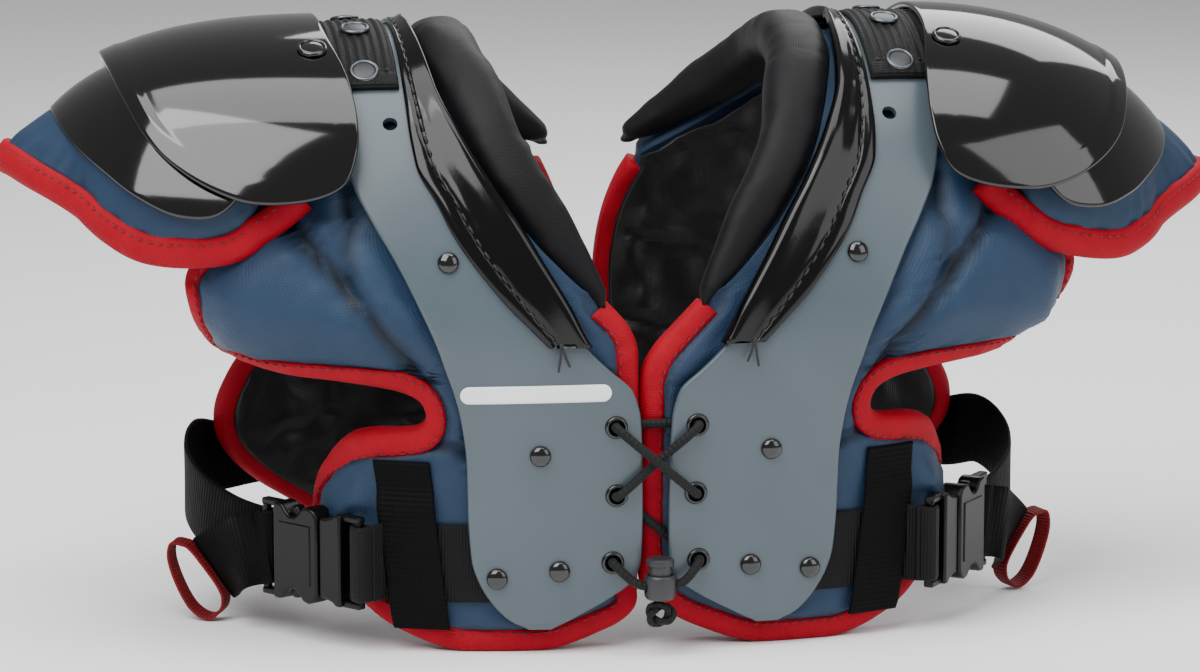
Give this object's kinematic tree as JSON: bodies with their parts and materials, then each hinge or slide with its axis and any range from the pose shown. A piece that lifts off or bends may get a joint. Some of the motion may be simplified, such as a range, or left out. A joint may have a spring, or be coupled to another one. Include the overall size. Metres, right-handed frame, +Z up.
{
  "type": "football shoulder pad",
  "caption": "Football shoulder pad with moulded shoulder plates and caps over taped fabric pads, laced at chest and back and held by buckled side straps.",
  "frame": {"origin": "middle of the bounding box, on the floor that the lower edge tape stands on", "axes": "+X across the shoulders towards the wearer's left, -Y out of the chest, +Z up"},
  "size_m": [0.511, 0.2136, 0.25],
  "materials": {
    "plate": "satin cool grey moulded plastic",
    "pad_fabric": "matte steel-blue woven nylon over foam",
    "lining_fabric": "near-black thin nylon",
    "edge_tape": "red ribbed binding tape",
    "trim_rubber": "glossy black coated trim",
    "roll_fabric": "warm dark grey puckered fabric",
    "webbing": "black ribbed webbing",
    "cap_shell": "mirror-gloss black moulded plastic",
    "buckle": "black acetal, slight sheen",
    "pull_tape": "dark red ribbon",
    "rivet": "black domed cap",
    "snap": "steel ring round a grey disc",
    "cord": "charcoal round lace",
    "lock": "dark grey plastic"
  },
  "bodies": {
    "pad": {"arch_right": "plate", "body_pad_right": "pad_fabric", "lining_right": "lining_fabric", "binding_right": "edge_tape", "neck_strip_right": "trim_rubber", "collar_roll_right": "roll_fabric", "shoulder_web_right": "webbing", "epaulet_right": "cap_shell", "cup_right": "cap_shell", "cap_pad_right": "pad_fabric", "cap_binding_right": "edge_tape", "belt_right": "webbing", "keeper_right": "webbing", "buckle_socket_right": "buckle", "buckle_plug_right": "buckle", "side_strap_right": "webbing", "pull_loop_right": "pull_tape", "rivet_upper_right": "rivet", "rivet_middle_right": "rivet", "rivet_outer_right": "rivet", "rivet_inner_right": "rivet", "snap_front_low_right": "snap", "snap_front_top_right": "snap", "snap_back_top_right": "snap", "snap_back_low_right": "snap", "epaulet_rivet_front_right": "snap", "epaulet_rivet_back_right": "snap", "arch_left": "plate", "body_pad_left": "pad_fabric", "lining_left": "lining_fabric", "binding_left": "edge_tape", "neck_strip_left": "trim_rubber", "collar_roll_left": "roll_fabric", "shoulder_web_left": "webbing", "epaulet_left": "cap_shell", "cup_left": "cap_shell", "cap_pad_left": "pad_fabric", "cap_binding_left": "edge_tape", "belt_left": "webbing", "keeper_left": "webbing", "buckle_socket_left": "buckle", "buckle_plug_left": "buckle", "side_strap_left": "webbing", "pull_loop_left": "pull_tape", "rivet_upper_left": "rivet", "rivet_middle_left": "rivet", "rivet_outer_left": "rivet", "rivet_inner_left": "rivet", "snap_front_low_left": "snap", "snap_front_top_left": "snap", "snap_back_top_left": "snap", "snap_back_low_left": "snap", "epaulet_rivet_front_left": "snap", "epaulet_rivet_back_left": "snap", "front_lace": "cord", "back_lace": "cord", "lace_knot": "cord", "cord_lock": "lock"},
    "button": {"lock_button": "lock"}
  },
  "joints": [
    {"name": "lock_button_press", "type": "slide", "parent": "pad", "child": "button", "axis": [0, 0, 1], "range_m": [-0.0035, 0], "stiffness_N_per_m": 600, "springref_m": 0.003}
  ]
}
